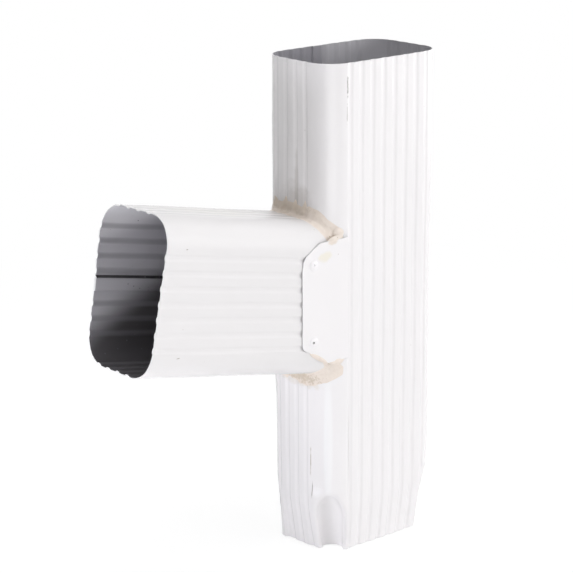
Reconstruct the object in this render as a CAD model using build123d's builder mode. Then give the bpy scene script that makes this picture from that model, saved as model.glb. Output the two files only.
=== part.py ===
"""Downpipe branch: a length of corrugated rectangular downpipe with a sloping side inlet.

Two pieces of the same folded sheet stock meet here.  The upright tube has a window slit in one
narrow wall.  The two halves of that wall are folded out flat as flaps, which lap the wide walls
of the branch and are riveted to them.  Sealant closes the joint above and below the branch.

Frame: Z runs up the upright tube, the branch leaves towards -X, and the wide walls face -Y and
+Y.  The origin is the middle of the crimped lower end.  Millimetres.
"""
from build123d import *
import os
from math import atan2, cos, degrees, radians, sin, tan

os.makedirs("parts", exist_ok=True)

# Sheet stock
stock_width = 108.0
stock_depth = 71.0
corner_radius = 20.0
sheet = 0.6

# Corrugation, the same on both tubes
pitch = 10.1
groove_width = 4.6
groove_floor = 2.0
groove_depth = 1.6
groove_margin = 17.0
front_pattern_middle = 1.65
side_pattern_middle = 3.75

# Lock seam on the back wall, with the grooves on each side of it
seam_middle = -2.2
seam_width = 9.0
seam_height = 1.2
seam_gap = 0.5
seam_to_groove_above = 8.5
seam_to_groove_below = 13.5

# Upright tube
main_height = 352.0
crimp_height = 36.0
crimp_scale = 0.91

# Hollows pushed into the four corners of the crimped end, widest at hollow_level
hollow_radius = 9.8
hollow_rise = 18.5
hollow_foot_radius = 8.0
hollow_foot_drop = 32.0
hollow_level = 27.0
hollow_reach = 16.8
hollow_lean = 13.8

# Branch
branch_slope = 11.4
branch_level = 178.9
branch_length = 200.0
branch_insertion = 4.0
window_clearance = 0.4

# Flaps folded out of the upright tube
flap_bottom = 147.0
flap_top = 233.2
flap_overhang = 23.2
flap_upper_cut_length = 16.0
flap_upper_cut_drop = 9.0
flap_lower_cut_rise = 13.8

# Blind rivets
rivet_overhang = 13.0
rivet_upper_level = 218.4
rivet_lower_level = 164.0
rivet_hole_clearance = 0.1
rivet_shank_radius = 2.0
rivet_head_radius = 3.95
rivet_head_height = 1.5
rivet_crown_radius = 1.8
rivet_bulb_radius = 3.0
rivet_bulb_length = 2.6
rivet_tail_radius = 1.5

# Sealant
sealant_run_out = 6.5
sealant_skin = 1.6
sealant_rise = 8.0
sealant_fall = 10.5
sealant_inset = 14.0
sealant_feather = 0.5

# Sizes that follow from those above
half_width = stock_width / 2
half_depth = stock_depth / 2
branch_depth = stock_depth - 2 * sheet
branch_end = -half_width + branch_insertion
groove_slope = atan2(2 * groove_depth, groove_width - groove_floor)
crimp_top = Plane.XY.offset(crimp_height)
branch_plane = Plane(
    origin=(0, 0, branch_level),
    x_dir=(sin(radians(branch_slope)), 0, cos(radians(branch_slope))),
    z_dir=(-cos(radians(branch_slope)), 0, sin(radians(branch_slope))),
)

rivet_grip = 2 * sheet + groove_depth


def groove_row(wall_width, middle):
    """Return the places of the grooves on a plain wall, as many as fit, spaced evenly about middle."""
    count = int((wall_width - 2 * groove_margin) / pitch) + 1
    return [middle + (i - (count - 1) / 2) * pitch for i in range(count)]


def groove_run(start, side):
    """Return the places of the grooves from start outwards, on one side of the lock seam."""
    count = int((half_width - groove_margin - abs(start)) / pitch) + 1
    return [start + side * i * pitch for i in range(count)]


front_grooves = groove_row(stock_width, front_pattern_middle)
side_grooves = groove_row(stock_depth, side_pattern_middle)
back_grooves = groove_run(seam_middle + seam_to_groove_above, 1)
back_grooves += groove_run(seam_middle - seam_to_groove_below, -1)


def wall_place(offset, facing, width, depth, radius):
    """Return the place on a rounded rectangle that lies offset along the wall facing that way.

    Past the flat of the wall the place runs on round the corner, by the same angle on the
    outside and the inside of the sheet.
    """
    along, out = (depth, width) if facing in (0, 180) else (width, depth)
    flat = along / 2 - radius
    side = 1 if offset > 0 else -1
    turn = max(0, abs(offset) - flat) / corner_radius
    x = side * (min(abs(offset), flat) + radius * sin(turn))
    y = out / 2 - radius + radius * cos(turn)
    return Location((0, 0, 0), (0, 0, facing - 90)) * Location((-x, y, 0), (0, 0, side * degrees(turn)))


def groove_shape(inset):
    """Return the groove that is cut into an outline lying inset inside the outer face."""
    lip = groove_width / 2 + inset * tan(groove_slope / 2)
    floor = groove_floor / 2 + inset * tan(groove_slope / 2)
    points = [(-lip, sheet), (-lip, 0), (-floor, -groove_depth), (floor, -groove_depth), (lip, 0), (lip, sheet)]
    with BuildSketch() as groove:
        with BuildLine():
            Polyline(*points, close=True)
        make_face()
    return groove.sketch


def tube_outline(depth, inset=0):
    """Return the corrugated outline of a tube, as it lies inset inside the outer face."""
    size = (stock_width - 2 * inset, depth - 2 * inset, corner_radius - inset)
    places = [wall_place(x, 270, *size) for x in front_grooves]
    places += [wall_place(-x, 90, *size) for x in back_grooves]
    places += [wall_place(-y, 180, *size) for y in side_grooves]
    places += [wall_place(-y, 0, *size) for y in side_grooves]
    groove = groove_shape(inset)
    with BuildSketch() as outline:
        RectangleRounded(*size)
        with Locations(*places):
            add(groove, mode=Mode.SUBTRACT)
        if inset:
            with Locations((seam_middle, size[1] / 2)):
                Rectangle(seam_width, 2 * seam_height, mode=Mode.SUBTRACT)
        else:
            with Locations((seam_middle + seam_width / 2, size[1] / 2)):
                Rectangle(seam_gap, sheet, mode=Mode.SUBTRACT)
    return outline.sketch


def crimped_form(outline):
    """Return the filled form of the upright tube for one outline, tapered at its lower end."""
    with BuildPart() as form:
        with BuildSketch(crimp_top):
            add(outline)
        extrude(amount=main_height - crimp_height)
        with BuildSketch(crimp_top):
            add(outline)
        with BuildSketch(Plane.XY):
            add(outline)
            scale(by=crimp_scale)
        loft(ruled=True)
    return form.part


def branch_form(outline):
    """Return the filled form of the branch for one outline, cut off plumb inside the window."""
    with BuildPart() as form:
        with BuildSketch(branch_plane):
            add(outline)
        extrude(amount=branch_length)
        split(bisect_by=Plane.YZ.offset(branch_end), keep=Keep.BOTTOM)
    return form.part


def hollow_form(growth=0):
    """Return one hollow's form, grown outwards all round: a pointed cap on a narrowing foot."""
    tip = hollow_rise + growth / sin(atan2(hollow_radius, hollow_rise))
    with BuildPart() as form:
        with BuildSketch(Plane.XZ):
            with BuildLine():
                Polyline(
                    (0, tip),
                    (0, -hollow_foot_drop),
                    (hollow_foot_radius + growth, -hollow_foot_drop),
                    (hollow_radius + growth, 0),
                    close=True,
                )
            make_face()
        revolve(axis=Axis.Z)
    return form.part


def joint_trace(x, reach):
    """Return the branch's outline, grown by reach, where it crosses the upright plane at x."""
    with BuildSketch(Plane.YZ.offset(x)) as trace:
        with Locations((0, branch_level - x * tan(radians(branch_slope)))):
            RectangleRounded(
                branch_depth + 2 * reach,
                stock_width / cos(radians(branch_slope)) + 2 * reach,
                corner_radius + reach,
            )
    return trace.sketch


def sealant_form(reach, level, keep):
    """Return the bead laid round one end of the joint, on the side of level that keep names."""
    wall_trace = joint_trace(-half_width, reach)
    feather_trace = joint_trace(-half_width - sealant_run_out, sealant_feather)
    with BuildPart() as bead:
        add(wall_trace)
        extrude(amount=sealant_inset, dir=(cos(radians(branch_slope)), 0, -sin(radians(branch_slope))))
        add(wall_trace)
        add(feather_trace)
        loft(ruled=True)
        with BuildSketch(Plane.XY):
            RectangleRounded(
                stock_width + 2 * sealant_run_out,
                stock_depth + 2 * sealant_skin,
                corner_radius + (sealant_run_out + sealant_skin) / 2,
            )
        extrude(amount=main_height, mode=Mode.INTERSECT)
        split(bisect_by=Plane.XY.offset(level), keep=keep)
        add(main_outside.part, mode=Mode.SUBTRACT)
        add(branch_outside, mode=Mode.SUBTRACT)
    return bead.part


def rivet_places(facing):
    """Return the two places on one wide side where a rivet stands, pointing outwards."""
    turn = 90 if facing < 0 else -90
    levels = (rivet_lower_level, rivet_upper_level)
    return [Location((-half_width - rivet_overhang, facing * half_depth, z), (turn, 0, 0)) for z in levels]


# The hollows lean outwards at the corners of the crimped end
hollow_x = half_width - corner_radius + hollow_reach / 2**0.5
hollow_y = half_depth - corner_radius + hollow_reach / 2**0.5
hollow_tilt = tan(radians(hollow_lean)) / 2**0.5
hollow_planes = [
    Plane(origin=(x * hollow_x, y * hollow_y, hollow_level), z_dir=(x * hollow_tilt, y * hollow_tilt, 1))
    for x in (-1, 1)
    for y in (-1, 1)
]

# Filled outside of the upright tube and its bore
crimped_outside = crimped_form(tube_outline(stock_depth))
crimped_bore = crimped_form(tube_outline(stock_depth, sheet))
outer_hollow = hollow_form()
inner_hollow = hollow_form(sheet)

with BuildPart() as main_outside:
    add(crimped_outside)
    with Locations(*hollow_planes):
        add(outer_hollow, mode=Mode.SUBTRACT)

with BuildPart() as main_bore:
    add(crimped_bore)
    with Locations(*hollow_planes):
        add(inner_hollow, mode=Mode.SUBTRACT)

# Window: the slit-out middle, and the round ends of the branch's outline
flap_root = wall_place(front_grooves[0] - groove_width / 2, 270, stock_width, stock_depth, corner_radius)
root_x = flap_root.position.X
with BuildPart() as window:
    with BuildSketch(branch_plane):
        RectangleRounded(
            stock_width + 2 * window_clearance, branch_depth + 2 * window_clearance, corner_radius
        )
    extrude(amount=branch_length)
    split(bisect_by=Plane.YZ.offset(branch_end + window_clearance), keep=Keep.BOTTOM)
    with BuildSketch(Plane.YZ.offset(root_x)):
        with Locations((0, (flap_bottom + flap_top) / 2)):
            Rectangle(2 * stock_depth, flap_top - flap_bottom)
    extrude(amount=-half_width)

# Upright tube with its flaps: one folded sheet
with BuildPart() as main_tube:
    add(main_outside.part)
    add(main_bore.part, mode=Mode.SUBTRACT)
    add(window.part, mode=Mode.SUBTRACT)
    for facing in (-1, 1):
        with BuildSketch(Plane.XZ.offset(-facing * half_depth)):
            with BuildLine():
                tip_x = -half_width - flap_overhang
                Polyline(
                    (root_x + sheet, flap_bottom),
                    (-half_width, flap_bottom),
                    (tip_x, flap_bottom + flap_lower_cut_rise),
                    (tip_x, flap_top - flap_upper_cut_drop),
                    (tip_x + flap_upper_cut_length, flap_top),
                    (root_x + sheet, flap_top),
                    close=True,
                )
            make_face()
        extrude(amount=facing * sheet)
        with Locations(*rivet_places(facing)):
            Hole(rivet_shank_radius + rivet_hole_clearance, depth=2 * sheet)

# Branch tube
branch_outside = branch_form(tube_outline(branch_depth))
branch_bore = branch_form(tube_outline(branch_depth, sheet))
with BuildPart() as branch_tube:
    add(branch_outside)
    add(branch_bore, mode=Mode.SUBTRACT)
    for facing in (-1, 1):
        with Locations(*rivet_places(facing)):
            Hole(rivet_shank_radius + rivet_hole_clearance, depth=rivet_grip + sheet)

# Sealant above and below the branch
with BuildPart() as upper_sealant:
    add(sealant_form(sealant_rise, flap_top, Keep.TOP))

with BuildPart() as lower_sealant:
    add(sealant_form(sealant_fall, flap_bottom, Keep.BOTTOM))

# Blind rivet: low coned head on the flap, shank through both sheets, bulb inside the branch
with BuildPart() as rivet:
    with BuildSketch(Plane.XZ):
        with BuildLine():
            Polyline(
                (0, rivet_head_height),
                (rivet_crown_radius, rivet_head_height),
                (rivet_head_radius, 0),
                (rivet_shank_radius, 0),
                (rivet_shank_radius, -rivet_grip),
                (rivet_bulb_radius, -rivet_grip),
                (rivet_tail_radius, -rivet_grip - rivet_bulb_length),
                (0, -rivet_grip - rivet_bulb_length),
                close=True,
            )
        make_face()
    revolve(axis=Axis.Z)

pieces = [main_tube, branch_tube, upper_sealant, lower_sealant]
names = ["main_tube", "branch_tube", "upper_sealant", "lower_sealant"]
for piece, name in zip(pieces, names):
    piece.part.label = name
    export_step(piece.part, f"parts/{name}.step")
for side_name, facing in (("front", -1), ("back", 1)):
    for level_name, place in zip(("lower", "upper"), rivet_places(facing)):
        set_rivet = place * rivet.part
        set_rivet.label = f"{side_name}_{level_name}_rivet"
        export_step(set_rivet, f"parts/{set_rivet.label}.step")
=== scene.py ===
"""Dresses the packed downpipe branch and lights it as the photograph does.

Sizes are in millimetres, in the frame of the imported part, and meshes are made in metres.
"""
import logging
import math
from dataclasses import dataclass
from enum import Enum

import bpy
import numpy as np
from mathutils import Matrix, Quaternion, Vector


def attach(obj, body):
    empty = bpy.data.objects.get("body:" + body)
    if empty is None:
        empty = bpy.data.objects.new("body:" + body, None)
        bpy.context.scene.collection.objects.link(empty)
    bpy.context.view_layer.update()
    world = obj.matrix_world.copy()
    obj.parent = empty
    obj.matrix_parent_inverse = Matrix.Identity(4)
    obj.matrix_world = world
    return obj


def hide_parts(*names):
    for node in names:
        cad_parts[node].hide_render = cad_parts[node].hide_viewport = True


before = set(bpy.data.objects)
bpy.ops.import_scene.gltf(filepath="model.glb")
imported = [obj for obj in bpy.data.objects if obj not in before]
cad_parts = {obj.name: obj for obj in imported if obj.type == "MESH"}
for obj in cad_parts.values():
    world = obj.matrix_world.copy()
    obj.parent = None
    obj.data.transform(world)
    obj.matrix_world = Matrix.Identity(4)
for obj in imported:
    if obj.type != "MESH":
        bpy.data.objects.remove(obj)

LOG = logging.getLogger("downpipe_branch")
MM = 0.001
QUARTER = math.pi / 2
SHEET = 0.6
FLAP_PLANE = 35.5
RIVET_LEVELS = (218.4, 164.0)
KNOTS = 64
SHARP_FROM = math.radians(50)
WHITE = (1.0, 1.0, 1.0, 1.0)


class Skin(Enum):
    """The finishes of a folded sheet, in the order of its material slots."""

    PAINT = 0
    BACK_COAT = 1
    CUT_EDGE = 2


class Wall(Enum):
    """The walls of a tube, by the place of their flats among the parts of its outline.

    A round corner follows each flat, as the next part.
    """

    FRONT = 0
    RIGHT = 2
    BACK = 4
    LEFT = 6


class Level(Enum):
    """The two sealant runs, named by the side of the branch that they close."""

    UPPER = 1
    LOWER = -1


def smooth(value: np.ndarray | float) -> np.ndarray | float:
    """Return value eased between 0 and 1, and held at those ends outside them."""
    value = np.clip(value, 0.0, 1.0)
    return value * value * (3.0 - 2.0 * value)


def bump(place: np.ndarray, middle: float, reach: float) -> np.ndarray:
    """Return a bell of height 1 at middle that has died away at twice the reach."""
    return np.exp(-(((place - middle) / reach) ** 2))


def in_metres(place: tuple) -> tuple:
    """Return a place or a reach, given in millimetres, in metres."""
    return tuple(number * MM for number in place)


def mark_points(piece: bpy.types.Object, name: str, values: np.ndarray) -> None:
    """Keep one value for each point of a piece, for its material or node tree to read.

    Args:
        piece: The object.
        name: Name of the values.
        values: One number for each point.
    """
    mark = piece.data.attributes.new(name, "FLOAT", "POINT")
    mark.data.foreach_set("value", np.asarray(values, dtype=np.float32))


def make_object(
    name: str,
    points: np.ndarray,
    faces: list,
    finishes: list | None = None,
    skins: np.ndarray | None = None,
) -> bpy.types.Object:
    """Make one mesh object at the origin and link it to the scene.

    Args:
        name: Name of the piece.
        points: Places of its points, in millimetres.
        faces: Tuples of point numbers, anticlockwise as seen from outside.
        finishes: Materials, in the order that skins counts them.
        skins: For each face, the number of its material.

    Returns:
        The new object.
    """
    mesh = bpy.data.meshes.new(name)
    mesh.from_pydata((points * MM).tolist(), [], faces)
    if finishes:
        for finish in finishes:
            mesh.materials.append(finish)
        mesh.polygons.foreach_set("material_index", np.asarray(skins, dtype=np.int32))
    mesh.shade_smooth()
    mesh.set_sharp_from_angle(angle=SHARP_FROM)
    mesh.validate()
    piece = bpy.data.objects.new(name, mesh)
    bpy.context.scene.collection.objects.link(piece)
    return piece


def apply_modifiers(piece: bpy.types.Object) -> None:
    """Turn the piece with its modifiers into a plain mesh.

    Args:
        piece: The object whose modifiers are worked into its mesh.
    """
    bpy.context.view_layer.update()
    evaluated = piece.evaluated_get(bpy.context.evaluated_depsgraph_get())
    mesh = bpy.data.meshes.new_from_object(evaluated)
    old = piece.data
    piece.modifiers.clear()
    piece.data = mesh
    mesh.name = piece.name
    bpy.data.meshes.remove(old)


def run_tree(piece: bpy.types.Object, tree: bpy.types.NodeTree, sockets: dict, values: dict) -> None:
    """Run a geometry node tree on a piece and keep the result as its plain mesh.

    Args:
        piece: The object.
        tree: The tree.
        sockets: The tree's inputs by name.
        values: What each of them is given.
    """
    modifier = piece.modifiers.new(tree.name, "NODES")
    modifier.node_group = tree
    for name, value in values.items():
        modifier[sockets[name].identifier] = value
    apply_modifiers(piece)


def grid_faces(rows: int, count: int, closed: bool = True, flipped: bool = False) -> np.ndarray:
    """Find the faces between the points of a grid.

    Args:
        rows: Number of rows of points.
        count: Number of points in a row.
        closed: Whether each row runs round to its first point.
        flipped: Whether the faces look the other way.

    Returns:
        The four point numbers of each face.
    """
    row, here = np.meshgrid(np.arange(rows - 1), np.arange(count if closed else count - 1), indexing="ij")
    a = row * count + here
    b = row * count + (here + 1) % count
    corners = [a, a + count, b + count, b] if flipped else [a, b, b + count, a + count]
    return np.stack(corners, axis=-1).reshape(-1, 4)


def join_sides(outside: np.ndarray, inside: np.ndarray, rim: np.ndarray) -> tuple:
    """Return all faces of a sheet and the skin of each, from its two sides and its cut edge."""
    skins = np.repeat([skin.value for skin in Skin], [len(outside), len(inside), len(rim)])
    return np.concatenate([outside, inside, rim]), skins


@dataclass(frozen=True)
class RibbedOutline:
    """Outline of a tube of the ribbed stock, seen along the tube.

    Distance along the outline starts where the flat of the front wall begins, at its left, and
    runs anticlockwise: front, right, back and left wall, with a round corner after each.
    """

    depth: float
    groove_depth: float
    width: float = 108.0
    radius: float = 20.0
    pitch: float = 10.1
    lip_width: float = 5.4
    floor_width: float = 1.2
    front_first: float = -33.7
    front_count: int = 8
    side_first: float = -11.4
    side_count: int = 4
    back_above_seam: float = 6.3
    above_count: int = 4
    back_below_seam: float = -15.7
    below_count: int = 3
    seam_middle: float = -2.2
    seam_width: float = 9.0
    seam_height: float = 1.2
    seam_edge: float = 0.35
    slit_past: float = 0.25
    slit_half: float = 0.3
    slit_depth: float = 0.45
    seam_stations: tuple = ((-0.5, 0.0, 0.5), (-0.3, 0.0, 0.4, 0.9))
    beside_lip: float = 0.5
    station_step: float = 1.25
    least_step: float = 0.24

    def walls(self) -> np.ndarray:
        """Find the lengths of the outline's parts.

        Returns:
            The lengths of the four flats and the round corner after each, in order.
        """
        flat_x = self.width - 2 * self.radius
        flat_y = self.depth - 2 * self.radius
        bend = QUARTER * self.radius
        return np.array([flat_x, bend, flat_y, bend, flat_x, bend, flat_y, bend])

    def starts(self) -> np.ndarray:
        """Return the distance at which each flat and corner starts, and the whole length last."""
        return np.concatenate([[0.0], np.cumsum(self.walls())])

    def middle(self, wall: Wall) -> float:
        """Return the distance along the outline of the middle of that wall's flat."""
        return self.starts()[wall.value] + self.walls()[wall.value] / 2

    def corner(self, number: int) -> np.ndarray:
        """Return the middle of the round corner that follows the wall of that number."""
        x, y = self.walls()[[Wall.FRONT.value, Wall.RIGHT.value]] / 2
        return np.array([(x, -y), (x, y), (-x, y), (-x, -y)])[number % 4]

    def grooves(self) -> np.ndarray:
        """Find where the grooves lie.

        Returns:
            Their distances along the outline.
        """
        front = self.front_first + self.pitch * np.arange(self.front_count)
        side = self.side_first + self.pitch * np.arange(self.side_count)
        above = self.back_above_seam + self.pitch * np.arange(self.above_count)
        below = self.back_below_seam - self.pitch * np.arange(self.below_count)
        back = np.concatenate([above, below])
        return np.concatenate([
            self.middle(Wall.FRONT) + front,
            self.middle(Wall.RIGHT) + side,
            self.middle(Wall.BACK) - back,
            self.middle(Wall.LEFT) - side,
        ]) % self.starts()[-1]

    def seam(self) -> float:
        """Return the distance along the outline of the middle of the lock seam."""
        return self.middle(Wall.BACK) - self.seam_middle

    def apart(self, stations: np.ndarray, place: float) -> np.ndarray:
        """Return how far each station lies past that place, the short way round."""
        whole = self.starts()[-1]
        return (stations - place + whole / 2) % whole - whole / 2

    def stations(self) -> np.ndarray:
        """Choose places along the outline, close together where it bends.

        Returns:
            Their distances along the outline.
        """
        starts = self.starts()
        parts = [np.arange(a, b, self.station_step) for a, b in zip(starts[:-1], starts[1:])]
        lip, floor = self.lip_width / 2, self.floor_width / 2
        offsets = np.concatenate([[0.0], np.linspace(floor, lip, 5), [lip + self.beside_lip]])
        offsets = np.concatenate([-offsets[:0:-1], offsets])
        before, after = (np.array(near) for near in self.seam_stations)
        seam = np.concatenate([before - self.seam_width / 2, after + self.seam_width / 2])
        parts += [groove + offsets for groove in self.grooves()] + [self.seam() + seam]
        places = np.sort(np.concatenate(parts) % starts[-1])
        kept = [places[0]]
        for place in places[1:]:
            if place - kept[-1] > self.least_step:
                kept.append(place)
        return np.array(kept)

    def place(self, stations: np.ndarray) -> tuple:
        """Find the plain outline's points, without grooves.

        Args:
            stations: Distances along the outline.

        Returns:
            The points and the outward directions there, as two arrays of x and y.
        """
        starts = self.starts()
        stations = stations % starts[-1]
        part = np.clip(np.searchsorted(starts, stations, side="right") - 1, 0, 7)
        past = stations - starts[part]
        wall = part // 2
        bend = part % 2 == 1
        heading = wall * QUARTER + np.where(bend, past / self.radius, 0.0)
        out = np.stack([np.sin(heading), -np.cos(heading)], axis=1)
        along = np.stack([np.cos(heading), np.sin(heading)], axis=1)
        centres = np.array([self.corner(n) for n in range(4)])
        middle = np.where(bend[:, None], centres[wall], centres[(wall - 1) % 4])
        run = np.where(bend, 0.0, past)
        return middle + self.radius * out + run[:, None] * along, out

    def groove_profile(self, off: np.ndarray) -> np.ndarray:
        """Return the depth of one groove, soft at its lips, that far from its middle."""
        lip = self.lip_width / 2
        floor = self.floor_width / 2
        return smooth((lip - np.abs(off)) / (lip - floor)) * self.groove_depth

    def groove_at(self, stations: np.ndarray) -> np.ndarray:
        """Return the depth of the grooves at each station."""
        depths = [self.groove_profile(self.apart(stations, groove)) for groove in self.grooves()]
        return np.max(depths, axis=0)

    def seam_at(self, stations: np.ndarray) -> tuple:
        """Find the lock seam's form at each station.

        Args:
            stations: Distances along the outline.

        Returns:
            How deep the slit is outside, and how far the fold stands up inside.
        """
        off = self.apart(stations, self.seam())
        ridge = self.seam_width / 2
        fold = smooth((ridge - np.abs(off)) / self.seam_edge + 1.0) * self.seam_height
        slit = np.where(np.abs(off + ridge + self.slit_past) < self.slit_half, self.slit_depth, 0.0)
        return slit, fold


@dataclass(frozen=True)
class CornerHollow:
    """A hollow pushed into a corner of the crimped end, by height above that end."""

    level: float = 27.0
    rise: float = 18.0
    radius: float = 9.9
    foot_radius: float = 8.3
    reach: float = 16.8
    lean: float = 0.2456
    lip: float = 2.3

    def section(self, height: float, inset: float) -> tuple:
        """Find the hollow's round section at one height.

        Args:
            height: Height above the crimped end.
            inset: How far the corner's middle has moved in along the diagonal.

        Returns:
            The distance of the section's middle from the corner's middle, and its radius.
        """
        middle = self.reach + (height - self.level) * self.lean + inset
        up = (height - self.level) / self.rise
        if up > 1:
            return middle, 0.0
        if up > 0:
            return middle, self.radius * math.sqrt(1 - up * up)
        foot = 1 - height / self.level
        return middle, self.radius + (self.foot_radius - self.radius) * foot

    def corner_points(
        self, shares: np.ndarray, height: float, corner_radius: float, inset: float
    ) -> np.ndarray:
        """Run along a corner with its hollow, as seen with the diagonal along x.

        Args:
            shares: Places along the corner, from -1 through 0 on the diagonal to 1.
            height: Height above the crimped end.
            corner_radius: Radius of the tube's corner there.
            inset: How far the corner's middle has moved in along the diagonal.

        Returns:
            Points about the corner's middle.
        """
        middle, radius = self.section(height, inset)
        if radius <= 0 or middle - radius >= corner_radius:
            angle = shares * QUARTER / 2
            return corner_radius * np.stack([np.cos(angle), np.sin(angle)], axis=1)
        lip = self.lip
        inner = corner_radius - lip
        cosine = (inner**2 + middle**2 - (radius + lip) ** 2) / (2 * inner * middle)
        alpha = min(math.acos(min(1.0, cosine)), QUARTER / 2)
        lip_middle = inner * np.array([math.cos(alpha), math.sin(alpha)])
        gamma = math.atan2(lip_middle[1], lip_middle[0] - middle)
        runs = np.array([
            radius * (math.pi - gamma),
            lip * (alpha - gamma + math.pi),
            corner_radius * (QUARTER / 2 - alpha),
        ])
        along = np.abs(shares) * runs.sum()
        on_hollow = math.pi - along / radius
        on_lip = gamma - math.pi + (along - runs[0]) / lip
        on_corner = alpha + (along - runs[0] - runs[1]) / corner_radius
        points = np.where(
            (along < runs[0])[:, None],
            np.stack([middle + radius * np.cos(on_hollow), radius * np.sin(on_hollow)], axis=1),
            np.where(
                (along < runs[0] + runs[1])[:, None],
                lip_middle + lip * np.stack([np.cos(on_lip), np.sin(on_lip)], axis=1),
                corner_radius * np.stack([np.cos(on_corner), np.sin(on_corner)], axis=1),
            ),
        )
        points[:, 1] *= np.where(shares < 0, -1.0, 1.0)
        return points


class Wiring:
    """Adds nodes to one node tree and links them."""

    def __init__(self, tree: bpy.types.NodeTree) -> None:
        """Keep the tree that the nodes go into."""
        self.tree = tree

    @classmethod
    def start(cls, kind: str, name: str, inputs: dict, output: tuple) -> tuple:
        """Start a node tree with its sockets.

        Args:
            kind: Type name of the tree.
            name: Name of the tree.
            inputs: Names of its inputs, by what they carry.
            output: What its one output carries, and its name.

        Returns:
            The wiring for it, the outputs that bring its inputs, and its input sockets by name.
        """
        tree = bpy.data.node_groups.new(name, kind)
        sockets = {
            label: tree.interface.new_socket(label, in_out="INPUT", socket_type=f"NodeSocket{carried}")
            for carried, labels in inputs.items() for label in labels
        }
        tree.interface.new_socket(output[1], in_out="OUTPUT", socket_type=f"NodeSocket{output[0]}")
        wires = cls(tree)
        return wires, wires.add("NodeGroupInput").outputs, sockets

    def end(self, value: object) -> bpy.types.NodeTree:
        """Put a value out of the tree and return the tree."""
        self.add("NodeGroupOutput", {0: value})
        return self.tree

    def fill(self, node: bpy.types.Node, inputs: dict) -> None:
        """Fill sockets of a node.

        Args:
            node: The node.
            inputs: For its sockets, by name or number, the node or output to link or the value to set.
        """
        for name, value in inputs.items():
            if isinstance(value, bpy.types.Node):
                value = value.outputs[0]
            if isinstance(value, bpy.types.NodeSocket):
                self.tree.links.new(value, node.inputs[name])
            else:
                node.inputs[name].default_value = value

    def add(self, kind: str, inputs: dict | None = None, **settings: object) -> bpy.types.Node:
        """Add one node.

        Args:
            kind: Type name of the node.
            inputs: What its sockets are filled with.
            settings: Options of the node.

        Returns:
            The new node.
        """
        node = self.tree.nodes.new(kind)
        for name, value in settings.items():
            setattr(node, name, value)
        self.fill(node, inputs or {})
        return node

    def effect(self, tree: bpy.types.NodeTree, inputs: dict) -> bpy.types.NodeSocket:
        """Add a shared effect, filled with those inputs, and return its output."""
        return self.add("ShaderNodeGroup", inputs, node_tree=tree).outputs[0]

    def math(
        self, operation: str, first: object, second: object = 0.0, third: object = 0.0
    ) -> bpy.types.NodeSocket:
        """Add a math node and return its output.

        Args:
            operation: What it works out.
            first: Its first value or the output that gives it.
            second: Its second value or output.
            third: Its third value or output.

        Returns:
            The output socket.
        """
        node = self.add("ShaderNodeMath", {0: first, 1: second, 2: third}, operation=operation)
        return node.outputs[0]

    def vector(
        self, operation: str, first: object, second: object = (0.0, 0.0, 0.0)
    ) -> bpy.types.NodeSocket:
        """Add a vector math node and return its output.

        Args:
            operation: What it works out.
            first: Its first vector or the output that gives it.
            second: Its second vector or output.

        Returns:
            The output socket, which is a number for a length or a dot product.
        """
        node = self.add("ShaderNodeVectorMath", {0: first, 1: second}, operation=operation)
        return node.outputs["Value" if operation in ("LENGTH", "DOT_PRODUCT") else "Vector"]

    def cover(self, colour: object, shade: tuple, mask: object, share: float = 1.0) -> bpy.types.NodeSocket:
        """Cover a colour with a shade where a mask lies.

        Args:
            colour: The colour or the output that gives it.
            shade: Red, green and blue of the shade.
            mask: The output that gives the mask.
            share: How far the shade covers where the mask is full.

        Returns:
            The output socket.
        """
        mask = self.math("MULTIPLY", mask, share) if share < 1 else mask
        inputs = {0: mask, 6: colour, 7: (*shade, 1.0)}
        return self.add("ShaderNodeMix", inputs, data_type="RGBA", clamp_factor=True).outputs[2]

    def seen_plainly(self) -> bpy.types.NodeSocket:
        """Return 1 for what the camera sees, also in a reflection or through glass, and else 0."""
        path = self.add("ShaderNodeLightPath").outputs
        seen = self.math("MAXIMUM", path["Is Camera Ray"], path["Is Glossy Ray"])
        return self.math("MAXIMUM", seen, path["Is Transmission Ray"])

    def band(self, value: object, start: object, end: object) -> bpy.types.NodeSocket:
        """Map a value onto 0 to 1, eased, between two levels.

        Args:
            value: The output to map.
            start: Level that gives 0, or the output that gives it.
            end: Level or output that gives 1.

        Returns:
            The output socket.
        """
        inputs = {0: value, 1: start, 2: end, 3: 0.0, 4: 1.0}
        return self.add("ShaderNodeMapRange", inputs, interpolation_type="SMOOTHSTEP").outputs[0]


def tube_shell(outer: np.ndarray, inner: np.ndarray) -> tuple:
    """Close a folded sheet between its outer and inner grid of points.

    Args:
        outer: Outer points, by row along the tube and by station round it.
        inner: Inner points in the same order.

    Returns:
        The points, the faces and the skin of each face.
    """
    rows, count = outer.shape[:2]
    base, top = rows * count, (rows - 1) * count
    outside = grid_faces(rows, count)
    here = np.arange(count)
    after = (here + 1) % count
    upper = np.stack([top + here, top + after, base + top + after, base + top + here], axis=-1)
    lower = np.stack([base + here, base + after, after, here], axis=-1)
    faces, skins = join_sides(outside, outside[:, ::-1] + base, np.concatenate([upper, lower]))
    points = np.concatenate([outer.reshape(-1, 3), inner.reshape(-1, 3)])
    return points, faces.tolist(), skins


def across(section: np.ndarray) -> np.ndarray:
    """Return the outward directions along a closed section that runs anticlockwise."""
    along = np.roll(section, -1, axis=0) - np.roll(section, 1, axis=0)
    along /= np.linalg.norm(along, axis=1)[:, None]
    return np.stack([along[:, 1], -along[:, 0]], axis=1)


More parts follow.
